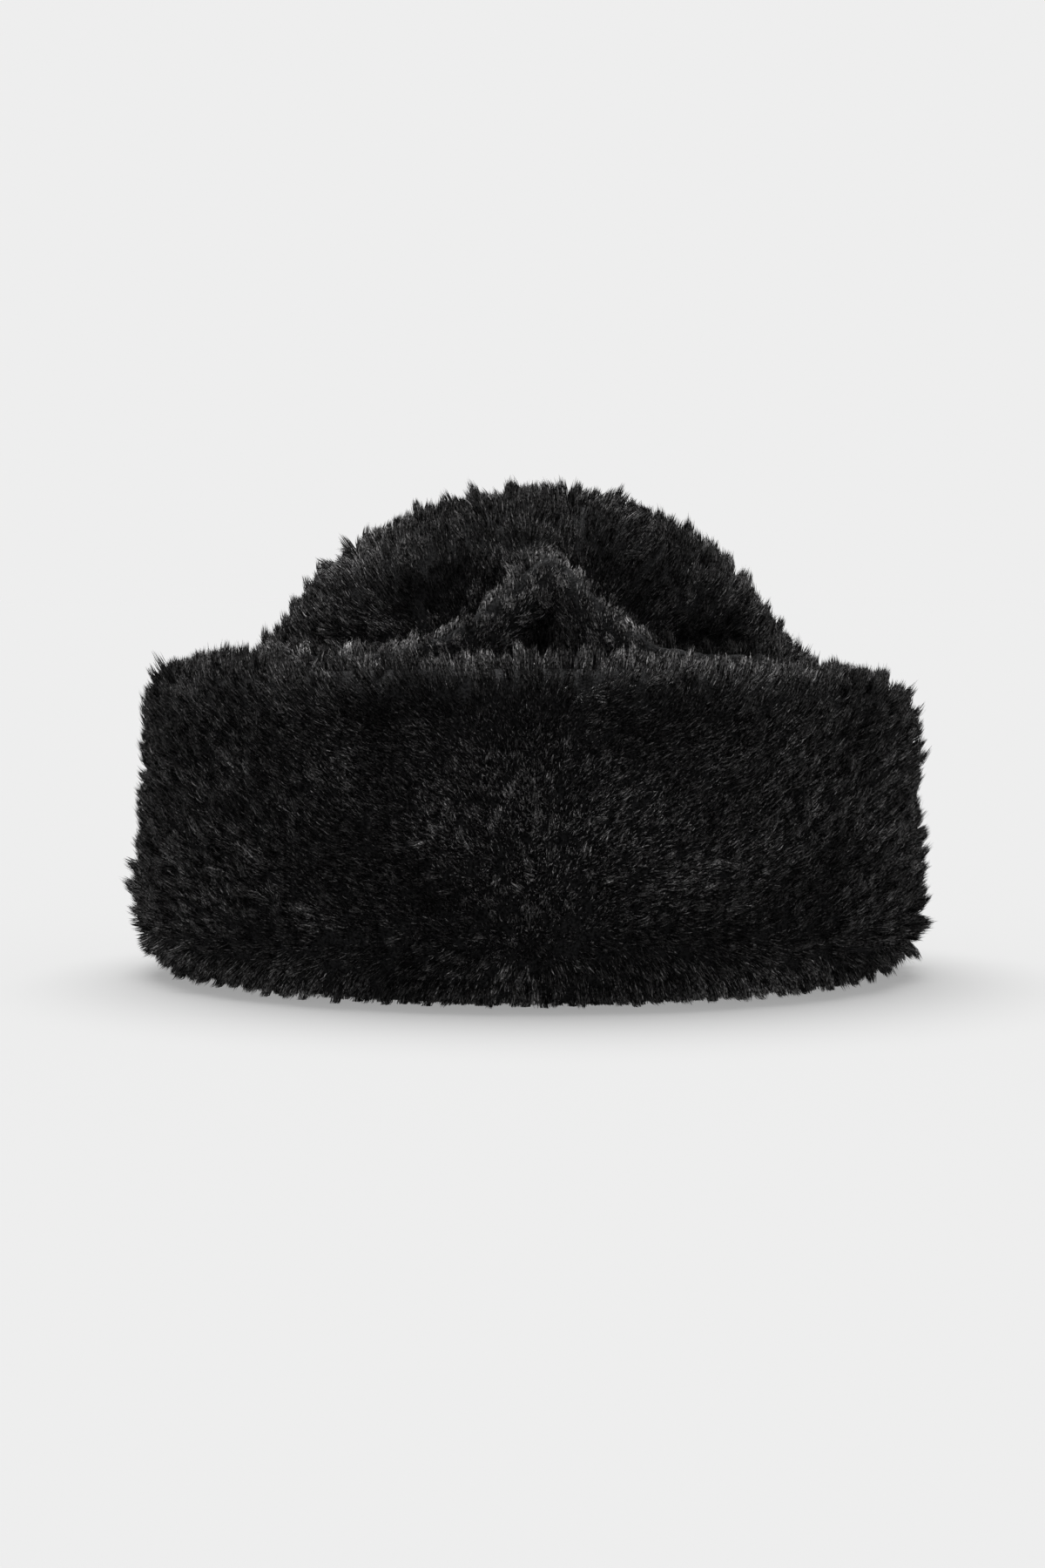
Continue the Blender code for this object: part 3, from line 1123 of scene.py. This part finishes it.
@dataclass(frozen=True)
class CuffPaintedLight:
    """The painted light and shade on the cuff's pile: painted light on the front, a painted highlight on the
    rim, and painted shade at the foot and the sides.
    """

    # The levels paint shade low down, near the floor, and a highlight along the rim; front paints light on
    # the front; inside paints shade inside the fold; side paints shade round the sides; back_rim paints
    # shade on the rim behind; back paints light on the back; patch varies the tone at random.
    heights: tuple[float, ...] = (0.0, 20.0, 50.0, 90.0, 106.0, 112.0)
    levels: tuple[float, ...] = (0.4, 0.45, 0.9, 0.8, 0.75, 1.5)
    front: float = 0.7
    front_band: Hump = Hump(0.0, 55.0)
    front_to: Ramp = Ramp(104.0, -12.0)
    inside: float = 0.5
    inside_from: Ramp = Ramp(116.0, -6.0)
    side: float = 0.22
    back_rim: float = 0.5
    back_rim_from: Ramp = Ramp(-40.0, 70.0)
    back_rim_above: Ramp = Ramp(98.0, 10.0)
    back: float = 0.25
    back_from: Ramp = Ramp(0.0, 40.0)
    patch: float = 0.36
    patch_seed: int = 91
    patch_size: float = 32.0
    # Patches of painted light and shade on the front.
    strokes: tuple[Stroke, ...] = (
        Stroke(-46.0, 60.0, 17.0, 80.0, -0.5),
        Stroke(-48.0, 99.0, 24.0, 9.0, -0.5, 0.12),
        Stroke(4.0, 102.0, 24.0, 8.0, -0.45, -0.1),
        Stroke(52.0, 98.0, 28.0, 9.0, -0.55, 0.15),
        Stroke(112.0, 92.0, 13.0, 16.0, -0.65),
        Stroke(99.0, 109.0, 12.0, 7.0, -0.3),
        Stroke(-106.0, 110.0, 24.0, 8.0, -0.5),
        Stroke(-4.0, 110.0, 24.0, 6.0, 0.35),
        Stroke(-44.0, 116.0, 18.0, 6.0, 0.6),
        Stroke(70.0, 115.0, 34.0, 7.0, 1.2),
        Stroke(-4.0, 56.0, 28.0, 11.0, 1.2, -0.12),
        Stroke(35.0, 43.0, 17.0, 8.0, 0.8),
        Stroke(50.0, 57.0, 42.0, 14.0, 0.7, -0.14),
        Stroke(-2.0, 26.0, 14.0, 18.0, 1.0),
        Stroke(46.0, 24.0, 20.0, 9.0, -0.3),
        Stroke(-120.0, 27.0, 28.0, 11.0, 1.5),
        Stroke(118.0, 24.0, 15.0, 14.0, 0.9),
        Stroke(118.0, 55.0, 13.0, 13.0, 0.7),
        Stroke(-58.0, 56.0, 10.0, 10.0, -0.3),
        Stroke(-78.0, 3.0, 23.0, 9.0, 3.6),
        Stroke(78.0, 3.0, 23.0, 9.0, 3.6),
        Stroke(0.0, 2.0, 60.0, 5.0, 0.8),
        Stroke(-92.0, 54.0, 12.0, 12.0, -0.25),
        Stroke(36.0, 84.0, 26.0, 15.0, -0.35),
        Stroke(-16.0, 86.0, 14.0, 12.0, -0.28),
    )

    def at(self, points: Array, width: Array, height: Array, aside: Array) -> Array:
        """Works out the painted light and shade.

        Args:
            points: points of the cloth.
            width: the half width of the section's oval at each.
            height: its height on the section, before the sides drop.
            aside: how far each is round the side, from 0 to 1.

        Returns:
            The painted brightness at each point, as a share of the pile's own.
        """
        x, y, z = points[..., 0], points[..., 1], points[..., 2]
        share = 1.0 + self.front * self.front_band.at(x) * self.front_to.at(z)
        share = share * (1.0 - self.inside * self.inside_from.at(width)) * (1.0 - self.side * aside)
        share = share * (1.0 + sum(painted_patch.at(points) for painted_patch in self.strokes))
        share = share * (1.0 - self.back_rim * self.back_rim_from.at(y) * self.back_rim_above.at(height))
        share = share * (1.0 + self.back * self.back_from.at(y))
        patch = Drift(self.patch_seed, self.patch_size).at(points)
        return np.interp(height, self.heights, self.levels) * share * (1.0 + self.patch * patch)


@dataclass
class Cuff:
    """The tall turned-up cuff: two halves of pile cloth, folded at the foot and round the top."""

    seat: float = 13.0
    top: float = 114.0
    left_drop: float = 4.5
    right_drop: float = 9.5
    rim_lift: float = 1.6
    side_rise: float = 1.9
    side_lean: float = 1.6
    parting: float = 34.0
    aside_from: Ramp = Ramp(0.3, 0.6)
    aside_above: Ramp = Ramp(12.0, 12.0)
    aside_outside: Ramp = Ramp(126.0, 6.0)
    rim_outside: Ramp = Ramp(110.0, 14.0)
    rim_below: Ramp = Ramp(4.0, 30.0)
    rise_drift: float = 0.45
    rise_seed: int = 57
    rise_size: float = 60.0
    level_drift: float = 0.35
    level_seed: int = 77
    level_size: float = 45.0
    level_aside: float = 0.6
    least_cover: float = 0.1
    loose: float = 0.74
    loose_less: float = 0.5
    sides_from: Ramp = Ramp(0.4, 0.5)
    foot_to: Ramp = Ramp(20.0, -12.0)
    low: float = 0.5
    low_to: Ramp = Ramp(64.0, -30.0)
    high: float = 0.8
    high_from: Ramp = Ramp(103.0, 7.0)
    columns: int = 116
    rows: int = 120
    under_pile: float = 1.4
    floor_gap: float = 0.35
    fold_width: float = 126.0
    fold_depth: float = 110.5
    face_middle: float = 60.0
    # The painted light and shade on the cuff's pile.
    painted_light: CuffPaintedLight = CuffPaintedLight()
    stations: tuple[Station, ...] = (
        Station(94.0, 89.0, 13.0),
        Station(93.0, 88.0, 6.0),
        Station(98.0, 93.0, 1.4, 2.0, 1.6, 0.3, 0.0, 1.0),
        Station(108.0, 100.0, 1.8, 2.0, 1.6, 0.3, -0.1, 1.0),
        Station(119.5, 106.8, 3.0, 4.0, 1.2, 0.8, -0.6, 0.7),
        Station(130.0, 114.2, 6.6, 6.5, 0.8, 1.0, -0.5, 0.6),
        Station(136.4, 119.3, 12.6, 7.4, 0.7, 1.0, -0.2, 0.5),
        Station(139.0, 121.5, 20.0, 7.8, 0.6, 1.0, 0.2, 0.5),
        Station(138.9, 121.4, 40.0, 7.8, 0.65, 1.0, 0.5, 0.5),
        Station(138.3, 120.8, 60.0, 7.8, 0.75, 1.0, 0.8, 0.5),
        Station(137.2, 119.7, 80.0, 7.8, 0.85, 1.0, 1.0, 0.5),
        Station(136.6, 119.2, 95.0, 7.8, 0.8, 1.0, 1.0, 0.5),
        Station(135.2, 118.0, 104.0, 7.8, 0.6, 1.0, 0.6, 0.5),
        Station(131.5, 114.8, 110.0, 7.8, 0.4, 1.0, 0.3, 0.5),
        Station(125.5, 110.2, 112.8, 7.8, 0.3, 1.0, -0.2, 0.6),
        Station(118.5, 105.0, 112.5, 8.0, 0.3, 1.0, -0.2, 0.6),
        Station(112.0, 100.0, 109.5, 9.0, 0.3, 0.9, -0.3, 0.5),
        Station(110.6, 99.0, 95.0, 2.0, 0.5, 0.3, 1.0, 0.2),
        Station(110.5, 99.5, 40.0),
        Station(102.0, 97.0, 13.0),
    )
    pile: Pile = field(default_factory=Pile)
    cut: tuple[float, float] = (411.0, 260.0)

    def section(self) -> Array:
        """The stations blended into one smooth section of rows.

        Returns:
            Rows by the numbers of a station.
        """
        table = np.array([station.numbers() for station in self.stations])
        steps = np.hypot(np.diff(table[:, 0]), np.diff(table[:, 2]))
        knots = np.concatenate([[0.0], np.cumsum(steps)])
        slopes = np.gradient(table, knots, axis=0)
        fine = np.linspace(0.0, knots[-1], self.rows)
        span = np.clip(np.searchsorted(knots, fine, side="right") - 1, 0, len(knots) - 2)
        width = (knots[span + 1] - knots[span])[:, None]
        t = ((fine - knots[span]) / width[:, 0])[:, None]
        a, b = table[span], table[span + 1]
        ma, mb = slopes[span] * width, slopes[span + 1] * width
        return (
            (2 * t**3 - 3 * t**2 + 1) * a
            + (t**3 - 2 * t**2 + t) * ma
            + (-2 * t**3 + 3 * t**2) * b
            + (t**3 - t**2) * mb
        )

    def tied(self, turn: Array, height: Array) -> Array:
        """How far the hairs keep to their locks: more at the sides, the foot and the rim.

        Args:
            turn: the angle round from the front, one for each column.
            height: the height on the section, one for each row.

        Returns:
            A share at each point, from 0 to 1.
        """
        foot = np.maximum(self.foot_to.at(height), self.low * self.low_to.at(height))
        rim = self.high * self.high_from.at(height)
        return np.maximum(self.sides_from.at(np.sin(turn)), np.maximum(foot, rim))

    def sheet(self, half: Half) -> Sheet:
        """The cuff's outer face as a sheet, from its seat round the outside to its seat again.

        Args:
            half: which half.

        Returns:
            The sheet, of rows up the section by columns round from the front or from the back.
        """
        width, depth, height, pile, lean, cover, rise, level = self.section().T[:, :, None]
        turn = np.linspace(0.0, math.pi, self.columns)[None, :]
        lifted = np.maximum(0.0, height - self.seat) / (self.top - self.seat)
        side_drop = self.left_drop if half is Half.LEFT else self.right_drop
        drop = side_drop * np.sin(turn) ** 2 * lifted
        aside = self.aside_from.at(np.sin(turn)) * self.aside_above.at(height)
        aside = aside * self.aside_outside.at(width)
        x = half.value * width * np.sin(turn)
        y = -depth * np.cos(turn)
        rim = self.rim_outside.at(width) * (1.0 - self.rim_below.at(height))
        z = height - drop + self.rim_lift * rim * np.sin(turn) ** 2
        points = np.stack([x, y, z], axis=-1)
        whole = np.ones_like(z)
        round_way = np.stack([half.value * np.cos(turn) * whole, np.sin(turn) * whole, 0.0 * whole], axis=-1)
        up_way = unit(np.gradient(points, axis=0))
        upward = Drift(self.rise_seed + half.value, self.rise_size).at(points)
        along = Drift(self.level_seed + half.value, self.level_size).at(points)
        lie = up_way * (rise + self.side_rise * aside + self.rise_drift * upward)[..., None]
        level = (level + self.level_drift * along) * (1.0 - self.level_aside * aside)
        level = level * smooth(np.abs(x) / self.parting)
        grids = {
            "lie": lie + round_way * level[..., None],
            "length": pile * whole,
            "lean": lean * (whole + self.side_lean * aside),
            "cover": np.clip(cover, self.least_cover, 1.0) * whole,
            "painted_light": self.painted_light.at(points, width, height, aside),
            "loose": self.loose - self.loose_less * self.tied(turn, height),
        }
        ordered = {name: turned(grid, -half.value, 1) for name, grid in grids.items()}
        return Sheet(turned(points, -half.value, 1), **ordered)

    def build(self, half: Half, rng: np.random.Generator) -> list[bpy.types.Object]:
        """Builds and dresses one half.

        Args:
            half: which half.
            rng: where the chance comes from.

        Returns:
            The half's pieces.
        """
        node = f"cuff_{half.label}"
        sheet = self.sheet(half)
        body = sheet.raised(self.under_pile)
        body[..., 2] = np.maximum(body[..., 2], self.floor_gap)
        pieces = [MeshMaker.cloth(f"{node}_under_pile", body, node, UnderPileFinish())]
        places = sheet.scatter(self.pile.lock_spacing, rng)
        x, y, z = places["point"].T
        fold = np.hypot(x / self.fold_width, y / self.fold_depth) < 1.0
        low = ~fold & (z <= self.face_middle)
        high = ~fold & (z > self.face_middle)
        parts = {
            "face_low_front": low & (y < 0.0),
            "face_low_back": low & (y >= 0.0),
            "face_high_front": high & (y < 0.0),
            "face_high_back": high & (y >= 0.0),
            "fold": fold,
        }
        return pieces + self.pile.dress(node, parts, places, half, rng)


@dataclass
class Studio:
    """A pale floor, soft light from above, and the camera in front."""

    distance: float = 1200.0
    elevation: float = 3.5
    aim_x: float = -2.9
    aim_z: float = 69.0
    frame_width: float = 386.4
    sensor: float = 36.0
    nearest: float = 0.01
    farthest: float = 200.0
    background: float = 0.855
    floor_glow: float = 0.38
    key: float = 12.0
    key_angle: float = 56.0
    key_from: tuple[float, float, float] = (-0.06, 0.34, 1.0)
    floor_half: float = 30.0

    def camera(self) -> None:
        """Makes the camera at the photograph's angle and gives it to the scene."""
        lens = bpy.data.cameras.new("camera")
        lens.sensor_fit = "HORIZONTAL"
        lens.sensor_width = self.sensor
        lens.lens = self.sensor * self.distance / self.frame_width
        lens.clip_start = self.nearest
        lens.clip_end = self.farthest
        camera = bpy.data.objects.new("camera", lens)
        bpy.context.scene.collection.objects.link(camera)
        aim = Vector((self.aim_x, 0.0, self.aim_z))
        angle = math.radians(self.elevation)
        back = Vector((0.0, -math.cos(angle), math.sin(angle)))
        camera.location = (aim + back * self.distance) * MILLIMETRE
        camera.rotation_euler = back.to_track_quat("Z", "Y").to_euler()
        bpy.context.scene.camera = camera

    def sun(self, name: str, strength: float, angle: float, way: Sequence[float]) -> float:
        """Adds a soft distant light.

        Args:
            name: the light's name.
            strength: its strength, in watts for each square metre.
            angle: how wide it is, in degrees.
            way: the way it comes from.

        Returns:
            What it adds to a white floor's brightness.
        """
        light = bpy.data.lights.new(name, "SUN")
        light.energy = strength
        light.angle = math.radians(angle)
        lamp = bpy.data.objects.new(name, light)
        lamp.rotation_euler = Vector(way).to_track_quat("Z", "Y").to_euler()
        bpy.context.scene.collection.objects.link(lamp)
        return strength * Vector(way).normalized().z / math.pi

    def build(self) -> None:
        """Lights the scene and lays the floor, which is as bright as what is behind it."""
        world = bpy.data.worlds.new("studio")
        world.use_nodes = True
        sky = world.node_tree.nodes["Background"]
        sky.inputs["Color"].default_value = (1.0, 1.0, 1.0, 1.0)
        sky.inputs["Strength"].default_value = self.background
        bpy.context.scene.world = world
        lit = self.background
        lit += self.sun("key", self.key, self.key_angle, self.key_from)
        made, shader = plain_material("floor", 1.0)
        pale = self.background * (1.0 - self.floor_glow) / lit
        shader.inputs["Base Color"].default_value = (pale, pale, pale, 1.0)
        shader.inputs["Specular IOR Level"].default_value = 0.0
        shader.inputs["Emission Color"].default_value = (1.0, 1.0, 1.0, 1.0)
        shader.inputs["Emission Strength"].default_value = self.background * self.floor_glow
        size = self.floor_half
        data = bpy.data.meshes.new("floor")
        corners = [(-size, -size, 0.0), (size, -size, 0.0), (size, size, 0.0), (-size, size, 0.0)]
        data.from_pydata(corners, [], [(0, 1, 2, 3)])
        data.materials.append(made)
        floor = bpy.data.objects.new("floor", data)
        bpy.context.scene.collection.objects.link(floor)
        bpy.context.scene.view_settings.view_transform = "Standard"
        self.camera()


def main() -> None:
    """Loads the frame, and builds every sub-assembly."""
    logging.basicConfig(level=logging.INFO, format="%(name)s %(message)s")
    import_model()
    Studio().build()
    rng = np.random.default_rng(SEED)
    crown = Crown()
    cuff = Cuff()
    for half in Half:
        crown.build(half, rng)
        cuff.build(half, rng)


if __name__ == "__main__":
    main()
